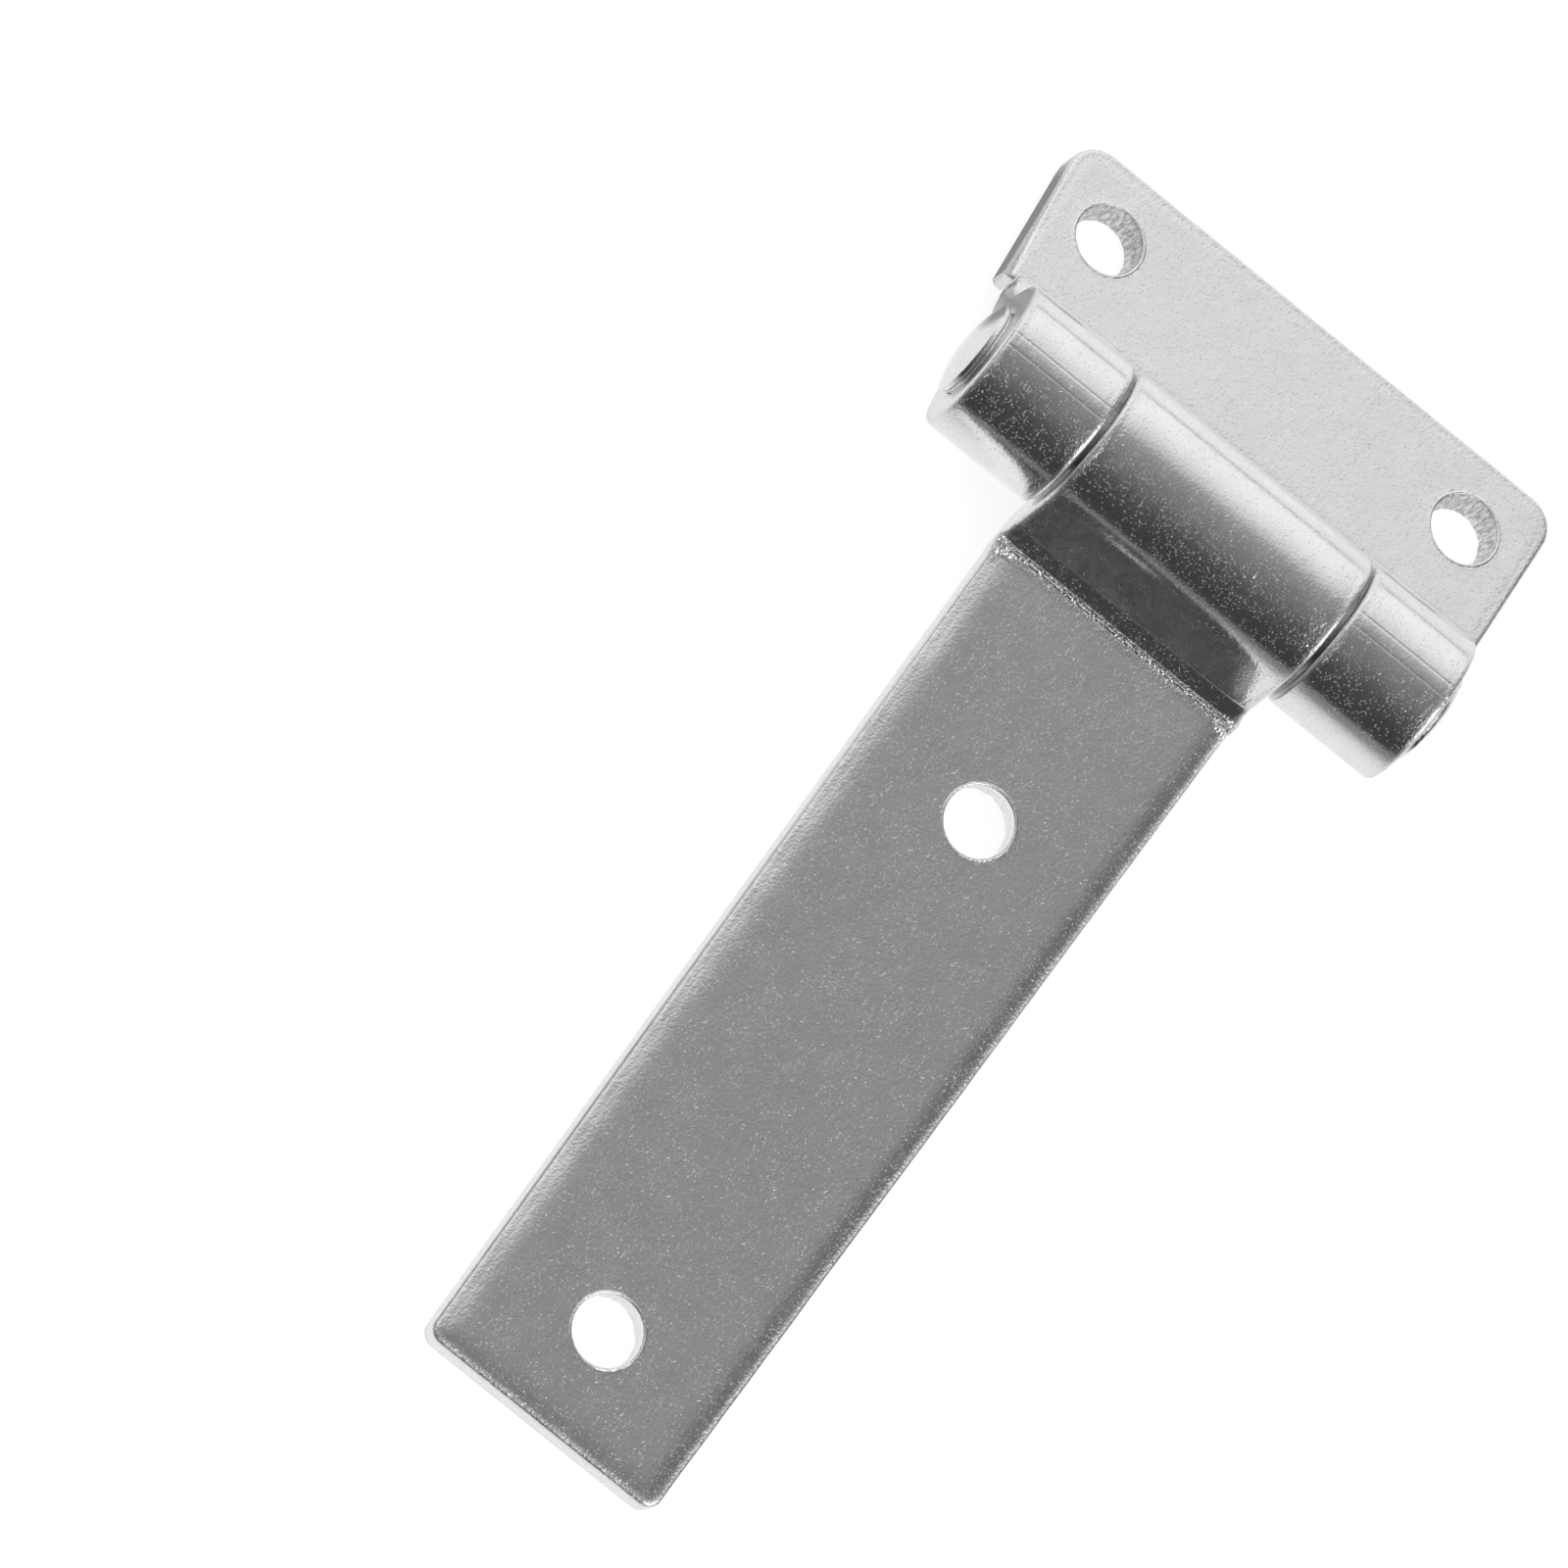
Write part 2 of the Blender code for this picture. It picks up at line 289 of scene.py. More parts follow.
class Sheet:
    """A closed bent sheet of metal, built from a grid of front and back points.

    across holds each row's column places and solid its filled cells. Columns whose distance from
    the middle is outside bent_span stay flat. look holds the shape of the edges. Each point keeps
    its distance to the outline, how sheared it is and how wrinkled, which the steel's shader reads.
    """

    def __init__(self, name, path, reach, rows, across, solid, corners, look, bent_span=(-1.0, 1.0)):
        self.name = name
        self.solid = solid
        t = np.array(across)
        s_rows = np.array(rows)[:, None]
        bent = np.array([follow(path, reach, s) for s in rows])[:, None, :]
        flat = np.array([follow([(1.0, 0.0)], reach, s) for s in rows])[:, None, :]
        bends = (np.abs(t) > bent_span[0]) & (np.abs(t) < bent_span[1])
        place = np.where(bends[..., None], bent, flat)
        s = np.broadcast_to(s_rows, t.shape).copy()
        for corner in corners:
            s, t = corner_rounded(s, t, *corner)
        self.edges = outline_edges(solid)
        rounded = [edge for edge in self.edges if not look["sharp"](s[edge[0]], t[edge[0]])]
        distance = outline_distance(s, t, rounded)
        self.heading = place[..., 2]
        self.columns = t.shape[1]
        self.count = t.size

        uneven = unevenness(s, t, UNEVEN_SIZE, look["seed"])
        front = edge_drop(distance, look["front"], look["roll_width"], look["roll_depth"](s))
        front = front * (1.0 + UNEVEN_SHARE * uneven) + look["dents"](s, t)
        back = SHEET - edge_drop(distance, BACK_RADIUS, BACK_RADIUS * 2.0, BACK_ROLL)
        bulge = look["bulge"](s) * np.clip(1.0 - distance / BULGE_FADE, 0.0, 1.0) * np.sign(t)
        front_points = self.points_at(place, s - s_rows, t + bulge, front)
        back_points = self.points_at(place, s - s_rows, t + bulge * BACK_BULGE_SHARE, back)
        self.points = list(front_points) + list(back_points)
        self.edge_mm = list(np.clip(distance.ravel() * 1000, 0.0, FARTHEST_EDGE_MM)) * 2
        self.shear = [0.0] * (2 * self.count)
        self.lip = list(look["lip"](s, distance).ravel()) * 2
        self.faces = []

    @staticmethod
    def points_at(place, along, t, depth):
        """Grid points at a depth below the front face."""
        x, z, heading = place[..., 0], place[..., 1], place[..., 2]
        px = x + along * np.cos(heading) + depth * np.sin(heading)
        pz = z + along * np.sin(heading) - depth * np.cos(heading)
        return np.stack([px, t, pz], 2).reshape(-1, 3)

    def number(self, grid_place):
        return grid_place[0] * self.columns + grid_place[1]

    def add_faces(self):
        for row, cell in np.argwhere(self.solid):
            corners = ((row, cell), (row + 1, cell), (row + 1, cell + 1), (row, cell + 1))
            loop = [self.number(corner) for corner in corners]
            self.faces.append(loop)
            self.faces.append([self.count + n for n in reversed(loop)])

    def outward_directions(self):
        """For each outline point, the direction out of the sheet in its own plane."""
        outward = {}
        for first, second in self.edges:
            run = self.points[self.number(second)] - self.points[self.number(first)]
            heading = self.heading[first]
            normal = np.array([-math.sin(heading), 0.0, math.cos(heading)])
            out = np.cross(run, normal)
            out = out / max(np.linalg.norm(out), CLOSE_TO_ZERO)
            for end in (first, second):
                outward[end] = outward.get(end, np.zeros(3)) + out / 2
        return outward

    def ladder(self, grid_place, outward):
        """The vertices down the wall below one outline point, front first."""
        top = self.number(grid_place)
        steps = [top]
        a, b = self.points[top], self.points[self.count + top]
        for level in range(1, WALL_STEPS):
            share = level / WALL_STEPS
            mid = a + (b - a) * share
            rough = WALL_ROUGHNESS * noise.noise(Vector(mid) / WALL_GRAIN)
            tear = WALL_TEAR * max(0.0, share - WALL_TEAR_START)
            self.points.append(mid + outward * (rough - tear))
            self.edge_mm.append(WALL_EDGE_MM)
            self.shear.append(WALL_SHEAR)
            self.lip.append(0.0)
            steps.append(len(self.points) - 1)
        steps.append(self.count + top)
        return steps

    def add_walls(self):
        outward = self.outward_directions()
        ladders = {place: self.ladder(place, outward[place]) for place in outward}
        for first, second in self.edges:
            a, b = ladders[first], ladders[second]
            for level in range(WALL_STEPS):
                self.faces.append([b[level], a[level], a[level + 1], b[level + 1]])

    def make(self):
        self.add_faces()
        self.add_walls()
        used = sorted({n for face in self.faces for n in face})
        renumber = {old: new for new, old in enumerate(used)}
        mesh = bpy.data.meshes.new(self.name)
        points = [tuple(self.points[n]) for n in used]
        mesh.from_pydata(points, [], [[renumber[n] for n in face] for face in self.faces])
        for name, values in (("edge_mm", self.edge_mm), ("shear", self.shear), ("lip", self.lip)):
            layer = mesh.attributes.new(name, "FLOAT", "POINT")
            layer.data.foreach_set("value", [float(values[n]) for n in used])
        obj = bpy.data.objects.new(self.name, mesh)
        bpy.context.scene.collection.objects.link(obj)
        return obj


# ---------------------------------------------------------------- punched holes


def punch_profile(rear_radius):
    """(depth below the face, radius) down a punched hole: rounded rim, smooth land, torn rear."""
    profile = [(-PUNCH_LEAD, HOLE_RADIUS + HOLE_RIM)]
    for step in range(PUNCH_RIM_STEPS + 1):
        depth = HOLE_RIM * (1 - math.cos(step * math.pi / 2 / PUNCH_RIM_STEPS))
        radius = HOLE_RADIUS + HOLE_RIM - math.sqrt(HOLE_RIM**2 - (HOLE_RIM - depth) ** 2)
        profile.append((depth, radius))
    for share in PUNCH_SHARES:
        torn = min(1.0, max(0.0, (share - PUNCH_TEAR_START) / (1.0 - PUNCH_TEAR_START)))
        opened = torn**PUNCH_TEAR_CURVE
        profile.append((SHEET * share, HOLE_RADIUS + (rear_radius - HOLE_RADIUS) * opened))
    return profile


def punch(obj, holes, rear_radius, seed):
    """Cuts the screw holes."""
    round_scale, along_scale, depth_scale = PUNCH_NOISE_SCALES
    bm = bmesh.new()
    for centre in holes:
        rings = []
        for depth, radius in punch_profile(rear_radius):
            torn = PUNCH_TORN if depth > SHEET * PUNCH_SMOOTH_SHARE else PUNCH_SMOOTH
            level = Vector((centre[0] * along_scale, centre[1] * along_scale, seed + depth * depth_scale))
            ring = []
            for step in range(HOLE_SEGMENTS):
                angle = 2 * math.pi * step / HOLE_SEGMENTS
                side = Vector((math.cos(angle), math.sin(angle), 0.0))
                reach = radius + torn * noise.noise(side * round_scale + level)
                place = (centre[0] + side.x * reach, centre[1] + side.y * reach, -FACE_DROP - depth)
                ring.append(bm.verts.new(place))
            rings.append(ring)
        for ring, below in zip(rings, rings[1:]):
            for step in range(HOLE_SEGMENTS):
                turn = (step + 1) % HOLE_SEGMENTS
                bm.faces.new((ring[step], below[step], below[turn], ring[turn]))
        bm.faces.new(rings[0])
        bm.faces.new(list(reversed(rings[-1])))
    bmesh.ops.recalc_face_normals(bm, faces=bm.faces)
    mesh = bpy.data.meshes.new("punch")
    bm.to_mesh(mesh)
    bm.free()
    cutter = bpy.data.objects.new("punch", mesh)
    bpy.context.scene.collection.objects.link(cutter)
    modifier = obj.modifiers.new("punch", "BOOLEAN")
    modifier.operation = "DIFFERENCE"
    modifier.solver = "EXACT"
    modifier.object = cutter
    bake_modifiers(obj)
    bpy.data.objects.remove(cutter)


def bake_modifiers(obj):
    graph = bpy.context.evaluated_depsgraph_get()
    mesh = bpy.data.meshes.new_from_object(obj.evaluated_get(graph))
    obj.modifiers.clear()
    obj.data = mesh


def finish_piece(obj, pose, material, body, node):
    mesh = obj.data
    mesh.shade_smooth()
    mesh.set_sharp_from_angle(angle=SMOOTH_ANGLE)
    weighted = obj.modifiers.new("weighted_normals", "WEIGHTED_NORMAL")
    weighted.keep_sharp = True
    mesh.materials.clear()
    mesh.materials.append(material)
    obj.matrix_world = pose
    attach(obj, body)
    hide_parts(node)


# ---------------------------------------------------------------- plated steel


# Plating's noises: scale per millimetre, detail and roughness
GRAIN_NOISE = (2.9, 1.0, 0.5)
PEEL_NOISE = (0.8, 2.0, 0.5)
MOTTLE_NOISE = (0.25, 4.0, 0.5)
CROWD_NOISE = (0.45, 2.0, 0.5)
SPECK_NOISE = (3.2, 0.0, 0.5)
COARSE_NOISE = (2.2, 4.0, 0.7)
TORN_NOISE = (1.0, 4.0, 0.65)
TORN_STRETCH = (3.0, 3.0, 0.8)

# Where a noise, or a distance in millimetres, starts to count and where it counts in full
WORN_RANGE = (0.2, 1.3)
NEAR_EDGE_RANGE = (0.3, 3.2)
IN_HOLE_RANGE = (-0.12, -0.22)
CROWDED_RANGE = (0.40, 0.62)
BUMP_RANGE = (0.69, 0.73)
PIT_RANGE = (0.26, 0.22)
DULL_AND_SHADED_RANGE = (0.64, 0.36)
MOTTLE_RANGE = (0.3, 0.7)
HOLE_EDGE_SPREAD = (4.0, 0.5)

# Scratches: direction, stretch and rarity
SCRATCHES = ((0.5, 0.30, 0.80), (1.9, 0.4, 0.80), (2.7, 1.3, 0.82), (1.2, 1.5, 0.82))
SCRATCH_FINENESS = 5.0
SCRATCH_SOFTNESS = 0.03

# Relief in millimetres
STRAP_GRAIN_DEPTH = 0.016
FRAME_GRAIN_DEPTH = 0.009
PIN_GRAIN_DEPTH = 0.006
NEAR_EDGE_GRAIN_DEPTH = 0.018
PEEL_DEPTH = 0.016
BUMP_HEIGHT = 0.024
PIT_DEPTH = 0.020
SCRATCH_DEPTH = 0.006
WORN_DEPTH = 0.09
TORN_DEPTH = 0.08
WRINKLE_DEPTH = 0.60

# Reflectance and roughness
SHADES = (0.785, 0.825)
MARKED_SHADE = 0.88
# How dark torn walls get: real dullness, plus painted shade on the frame leaf's screw-hole walls
DULL_AND_SHADED_TONE = 0.55
ROUGHNESS = 0.13
MOTTLE_ROUGHNESS = 0.05
SHEAR_ROUGHNESS = 0.18
WORN_ROUGHNESS = 0.04


class Nodes:
    """Short calls for building a shader node tree."""

    def __init__(self, tree):
        self.tree = tree

    def add(self, kind, links=(), **settings):
        node = self.tree.nodes.new(kind)
        for key, value in settings.items():
            setattr(node, key, value)
        for key, value in dict(links).items():
            if isinstance(value, bpy.types.NodeSocket):
                self.tree.links.new(value, node.inputs[key])
            else:
                node.inputs[key].default_value = value
        return node

    def math(self, operation, *values):
        return self.add("ShaderNodeMath", enumerate(values), operation=operation).outputs[0]

    def total(self, terms):
        """The sum of value times weight over the (value, weight) terms."""
        result = 0.0
        for value, weight in terms:
            result = self.math("MULTIPLY_ADD", value, weight, result)
        return result

    def noise(self, vector, scale, detail=2.0, roughness=0.5):
        links = {"Vector": vector, "Scale": scale, "Detail": detail, "Roughness": roughness}
        return self.add("ShaderNodeTexNoise", links).outputs["Fac"]

    def stretched(self, vector, turn, scale):
        links = {"Vector": vector, "Rotation": (0.0, 0.0, turn), "Scale": scale}
        return self.add("ShaderNodeMapping", links).outputs[0]

    def ramp(self, value, low, high, to_low=0.0, to_high=1.0):
        links = {"Value": value, "From Min": low, "From Max": high, "To Min": to_low, "To Max": to_high}
        return self.add("ShaderNodeMapRange", links, interpolation_type="SMOOTHSTEP").outputs[0]

    def attribute(self, name):
        return self.add("ShaderNodeAttribute", attribute_name=name).outputs["Fac"]


def scratches(nodes, mm, turn, stretch, rarity):
    """Sparse thin straight scratches in one direction, longer where stretch is smaller."""
    field = nodes.stretched(mm, turn, (stretch, SCRATCH_FINENESS, 1.0))
    return nodes.ramp(nodes.noise(field, 1.0, detail=1.0), rarity, rarity + SCRATCH_SOFTNESS)


def hole_edge_distance(nodes, mm, holes):
    """Distance in millimetres to the nearest screw hole's edge, seen square to the face."""
    split = nodes.add("ShaderNodeSeparateXYZ", {0: mm})
    flat = nodes.add("ShaderNodeCombineXYZ", {0: split.outputs[0], 1: split.outputs[1]}).outputs[0]
    nearest = FARTHEST_EDGE_MM
    for x, y in holes:
        centre = (x * 1000, y * 1000, 0.0)
        gap = nodes.add("ShaderNodeVectorMath", {0: flat, 1: centre}, operation="DISTANCE")
        nearest = nodes.math("MINIMUM", nearest, gap.outputs["Value"])
    return nodes.math("SUBTRACT", nearest, (HOLE_RADIUS + HOLE_RIM) * 1000)


def plated_steel(name, holes, grain_depth, torn_and_shaded_holes):
    """Bright plated steel: grain, specks, pits and scratches, rougher at its edges.

    torn_and_shaded_holes is 1 where the screw holes' walls are torn, dull and darkened by painted shade,
    and 0 where they shine.
    """
    material = bpy.data.materials.new(name)
    material.use_nodes = True
    nodes = Nodes(material.node_tree)
    shader = material.node_tree.nodes["Principled BSDF"]
    shader.inputs["Metallic"].default_value = 1.0
    place = nodes.add("ShaderNodeTexCoord").outputs["Object"]
    mm = nodes.add("ShaderNodeVectorMath", {0: place, "Scale": 1000.0}, operation="SCALE").outputs[0]

    from_edge = nodes.attribute("edge_mm")
    shear = nodes.attribute("shear")
    wrinkled = nodes.attribute("lip")
    if holes:
        from_hole = hole_edge_distance(nodes, mm, holes)
        # Where torn_and_shaded_holes is 1, the screw holes' walls also get painted shade, darker than the
        # real dullness
        in_hole = nodes.ramp(from_hole, *IN_HOLE_RANGE, 0.0, torn_and_shaded_holes)
        shear = nodes.math("MAXIMUM", shear, in_hole)
        from_hole = nodes.math("MAXIMUM", from_hole, 0.0)
        from_hole = nodes.math("MULTIPLY_ADD", from_hole, *HOLE_EDGE_SPREAD)
        from_edge = nodes.math("MINIMUM", from_edge, from_hole)
    worn = nodes.ramp(from_edge, *WORN_RANGE, 1.0, 0.0)
    near_edge = nodes.ramp(from_edge, *NEAR_EDGE_RANGE, 1.0, 0.0)

    mottle = nodes.noise(mm, *MOTTLE_NOISE)
    crowded = nodes.ramp(nodes.noise(mm, *CROWD_NOISE), *CROWDED_RANGE)
    specks = nodes.noise(mm, *SPECK_NOISE)
    bumps = nodes.math("MULTIPLY", nodes.ramp(specks, *BUMP_RANGE), crowded)
    pits = nodes.ramp(specks, *PIT_RANGE)
    torn = nodes.noise(nodes.stretched(mm, 0.0, TORN_STRETCH), *TORN_NOISE)
    lines = 0.0
    for turn, stretch, rarity in SCRATCHES:
        lines = nodes.math("MAXIMUM", lines, scratches(nodes, mm, turn, stretch, rarity))

    grain_depth = nodes.total(((near_edge, NEAR_EDGE_GRAIN_DEPTH), (1.0, grain_depth)))
    height = nodes.total((
        (nodes.noise(mm, *GRAIN_NOISE), grain_depth),
        (nodes.noise(mm, *PEEL_NOISE), PEEL_DEPTH),
        (bumps, BUMP_HEIGHT),
        (pits, -PIT_DEPTH),
        (lines, -SCRATCH_DEPTH),
        (nodes.math("MULTIPLY", nodes.noise(mm, *COARSE_NOISE), worn), WORN_DEPTH),
        (nodes.math("MULTIPLY", torn, shear), TORN_DEPTH),
        (nodes.math("MULTIPLY", specks, wrinkled), WRINKLE_DEPTH),
    ))
    bump = nodes.add("ShaderNodeBump", {"Height": height, "Distance": 0.001, "Strength": 1.0})
    nodes.tree.links.new(bump.outputs[0], shader.inputs["Normal"])

    marks = nodes.math("MAXIMUM", pits, lines)
    # Torn walls are darker: real dullness on every punched wall, plus painted shade on the frame leaf's
    # screw-hole walls
    dull_and_shaded = nodes.math("MULTIPLY", nodes.ramp(torn, *DULL_AND_SHADED_RANGE), shear)
    shade = nodes.ramp(mottle, *MOTTLE_RANGE, *SHADES)
    shade = nodes.math("MULTIPLY", shade, nodes.ramp(marks, 0.0, 1.0, 1.0, MARKED_SHADE))
    shade = nodes.math("MULTIPLY", shade, nodes.ramp(dull_and_shaded, 0.0, 1.0, 1.0, DULL_AND_SHADED_TONE))
    colour = nodes.add("ShaderNodeCombineColor", {0: shade, 1: shade, 2: shade})
    nodes.tree.links.new(colour.outputs[0], shader.inputs["Base Color"])

    roughness = nodes.total((
        (mottle, MOTTLE_ROUGHNESS),
        (shear, SHEAR_ROUGHNESS),
        (worn, WORN_ROUGHNESS),
        (1.0, ROUGHNESS),
    ))
    nodes.tree.links.new(roughness, shader.inputs["Roughness"])
    return material


# ---------------------------------------------------------------- the three pieces


def mount_tilt(name):
    """How steeply a leaf slopes down from the pin, read from its back face's mount."""
    for mount in frame["record"]["mounts"]:
        if mount["name"] == name:
            return math.atan2(mount["axis"][0], -mount["axis"][2])
    raise ValueError(name)


PIN_AXIS = Matrix.Translation(Vector(frame["joints"][0]["pos_m"]))
STRAP_POSE = PIN_AXIS @ Matrix.Rotation(-mount_tilt("strap_back"), 4, "Y")
FRAME_POSE = (
    PIN_AXIS
    @ Matrix.Rotation(-mount_tilt("frame_leaf_back"), 4, "Y")
    @ Matrix.Rotation(math.pi, 4, "Z")
)


def pressed(s, place):
    """A narrow line at a place along the sheet, 1 at its middle."""
    return np.exp(-(((s - place) / LINE_WIDTH) ** 2))


def make_strap():
    path = leaf_path(STRAP_REACH, STRAP_BENDS, STRAP_CURL_END)
    crease = path[0][0]
    rows = row_places(path, [crease + 2 * step for step in LINE_STEPS])
    across = []
    for place in rows:
        share = min(1.0, place / crease)
        half = (STRAP_TIP_WIDTH + (STRAP_ROOT_WIDTH - STRAP_TIP_WIDTH) * share) / 2
        inner = half - EDGE_LINES[-1]
        middle = list(np.linspace(-inner, inner, STRAP_COLUMNS)[1:-1])
        edge = [half - line for line in EDGE_LINES]
        across.append([-place for place in edge] + middle + edge[::-1])
    solid = np.ones((len(rows) - 1, len(across[0]) - 1), bool)
    corners = [(0.0, side * STRAP_TIP_WIDTH / 2, 1.0, -side, STRAP_TIP_CORNER) for side in (-1.0, 1.0)]

    def wrinkles(s, distance):
        """Where the bend wrinkles the metal: a thin line, wider at both ends of the crease."""
        middle, ends = WRINKLE_REACHES
        reach = middle + ends * np.exp(-((distance / WRINKLE_END_SPAN) ** 2))
        return np.exp(-(((s - crease + reach) / reach) ** 2)) * (s < crease + WRINKLE_PAST_CREASE)

    def roll_depth(s):
        """Deep along the strap and shallow past the crease."""
        shallow, more = STRAP_ROLL_DEPTHS
        past, fade = STRAP_ROLL_END
        return shallow + more * np.clip((crease + past - s) / fade, 0.0, 1.0)

    line_place, line_depth = CREASE_LINE
    look = {
        "front": STRAP_FRONT_RADIUS,
        "roll_width": STRAP_ROLL_WIDTH,
        "roll_depth": roll_depth,
        "bulge": lambda s: CREASE_BULGE * np.exp(-(((s - crease) / CREASE_BULGE_REACH) ** 2)),
        "lip": wrinkles,
        "dents": lambda s, t: line_depth * pressed(s, crease - line_place),
        "sharp": lambda s, t: False,
        "seed": 3.0,
    }
    sheet = Sheet("strap_leaf_steel", path, STRAP_REACH, rows, across, solid, corners, look)
    strap = sheet.make()
    punch(strap, STRAP_HOLES, STRAP_REAR_HOLE, 5.0)
    material = plated_steel("plated_strap_steel", STRAP_HOLES, STRAP_GRAIN_DEPTH, 0.0)
    finish_piece(strap, STRAP_POSE, material, "strap", "strap_leaf")


def frame_columns():
    """Column places across the frame leaf, close at each edge of its knuckles and ends."""
    outer = FRAME_LENGTH / 2
    barrel = FRAME_BARREL_LENGTH / 2
    slot = STRAP_ROOT_WIDTH / 2 + KNUCKLE_GAP
    half = [slot - SLIT_WIDTH] + [slot + line for line in EDGE_LINES]
    half += [barrel - line for line in EDGE_LINES]
    half += [barrel + SLIT_WIDTH, outer]
    half += [outer - line for line in EDGE_LINES if line < outer - barrel - SLIT_WIDTH]
    half += [0.0]
    half = filled(half, lambda place: FLAT_STEP)
    return [-place for place in half[:0:-1]] + half, slot, barrel, outer


def make_frame_leaf():
    path = leaf_path(FRAME_REACH, FRAME_BENDS, FRAME_CURL_END)
    plate_end = path[0][0]
    tab_end = plate_end + TAB_REACH
    curl_start = stops(path)[-1]
    curl_top = FRAME_BENDS[0][0] + math.pi / 2
    die_lines = [curl_start + BARREL_RADIUS * (curl_top - angle) for angle in DIE_LINE_ANGLES]
    fillet_lines = [plate_end + place for place, _ in FILLET_LINES]
    marks = [plate_end + SLIT_START, tab_end]
    marks += [plate_end - line for line in EDGE_LINES]
    marks += [tab_end - line for line in EDGE_LINES if line < TAB_REACH]
    marks += [line + step for line in die_lines + fillet_lines for step in LINE_STEPS]
    rows = row_places(path, marks)
    line, slot, barrel, outer = frame_columns()
    solid = np.zeros((len(rows) - 1, len(line) - 1), bool)
    for row, cell in np.ndindex(solid.shape):
        s = (rows[row] + rows[row + 1]) / 2
        t = abs(line[cell] + line[cell + 1]) / 2
        on_knuckle = slot < t < barrel
        on_plate = s < plate_end + SLIT_START
        on_edge = s < tab_end and (t > barrel + SLIT_WIDTH or t < slot - SLIT_WIDTH)
        solid[row, cell] = on_knuckle or on_edge or on_plate
    corners = []
    for side in (-1.0, 1.0):
        corners.append((0.0, side * outer, 1.0, -side, FRAME_CORNER))
        slant = END_SLANT if side < 0 else 0.0
        corners.append((tab_end, side * (outer - slant), -1.0, -side, TAB_CORNER))

    def dents(s, t):
        """Lines pressed along each end knuckle and its fillet, and one end's sheared slope."""
        depth = sum(DIE_LINE_DEPTH * pressed(s, line) for line in die_lines)
        depth = depth + sum(deep * pressed(s, plate_end + place) for place, deep in FILLET_LINES)
        depth = depth * (np.abs(t) > slot) * (np.abs(t) < barrel + SAME_PLACE)
        share = np.clip(s / tab_end, 0.0, 1.0)
        from_end = t + outer - END_SLANT * share
        sheared = SHEAR_WIDTH * share**SHEAR_GROWTH
        return depth + SHEAR_SLOPE * np.clip(sheared - from_end, 0.0, None) * (s < tab_end + SAME_PLACE)

    def by_slit(s, t):
        """Whether an outline point belongs to a slit beside a knuckle, whose edges stay sharp."""
        inner = slot - SLIT_WIDTH - SAME_PLACE < abs(t) < slot + SAME_PLACE
        outer_slit = barrel - SAME_PLACE < abs(t) < barrel + SLIT_WIDTH + SAME_PLACE
        return (inner or outer_slit) and plate_end < s < tab_end + SAME_PLACE

    look = {
        "front": FRAME_FRONT_RADIUS,
        "roll_width": FRAME_ROLL_WIDTH,
        "roll_depth": lambda s: FRAME_ROLL_DEPTH,
        "bulge": lambda s: np.zeros(s.shape),
        "lip": lambda s, distance: np.zeros(s.shape),
        "dents": dents,
        "sharp": by_slit,
        "seed": 8.0,
    }
    across = []
    slit_end = barrel + SLIT_WIDTH
    for s in rows:
        slant = END_SLANT * min(1.0, max(0.0, (s - FRAME_CORNER) / (tab_end - FRAME_CORNER)))
        past = [min(1.0, max(0.0, (-t - slit_end) / (outer - slit_end))) for t in line]
        across.append([t + slant * share for t, share in zip(line, past)])
    bent_span = (slot - SLIT_WIDTH / 2, barrel + SLIT_WIDTH / 2)
    sheet = Sheet("frame_leaf_steel", path, FRAME_REACH, rows, across, solid, corners, look, bent_span)
    leaf = sheet.make()
    punch(leaf, FRAME_HOLES, FRAME_REAR_HOLE, 9.0)
    # The frame leaf's screw-hole walls get painted shade as well as their torn dullness
    material = plated_steel("plated_frame_steel", FRAME_HOLES, FRAME_GRAIN_DEPTH, 1.0)
    finish_piece(leaf, FRAME_POSE, material, "frame", "frame_leaf")


def pin_profile():
    """Half of the pin from its middle out, as (radius, place): shank, head's rim and dome."""
    shoulder = FRAME_BARREL_LENGTH / 2 + HEAD_GAP
    profile = [(PIN_RADIUS, 0.0), (PIN_RADIUS, shoulder - SHOULDER_ROUND), (PIN_RADIUS, shoulder)]
    for step in range(HEAD_ROUND_STEPS + 1):
        angle = step * math.pi / 2 / HEAD_ROUND_STEPS
        radius = HEAD_RADIUS - HEAD_ROUND * (1 - math.sin(angle))
        profile.append((radius, shoulder + HEAD_ROUND * (1 - math.cos(angle))))
    dome = HEAD_HEIGHT - HEAD_RIM
    for step in range(DOME_STEPS):
        share = math.cos(math.pi / 2 * step / DOME_STEPS)
        profile.append((HEAD_RADIUS * share, shoulder + HEAD_RIM + dome * (1 - share**DOME_CURVE)))
    return profile, shoulder + HEAD_HEIGHT


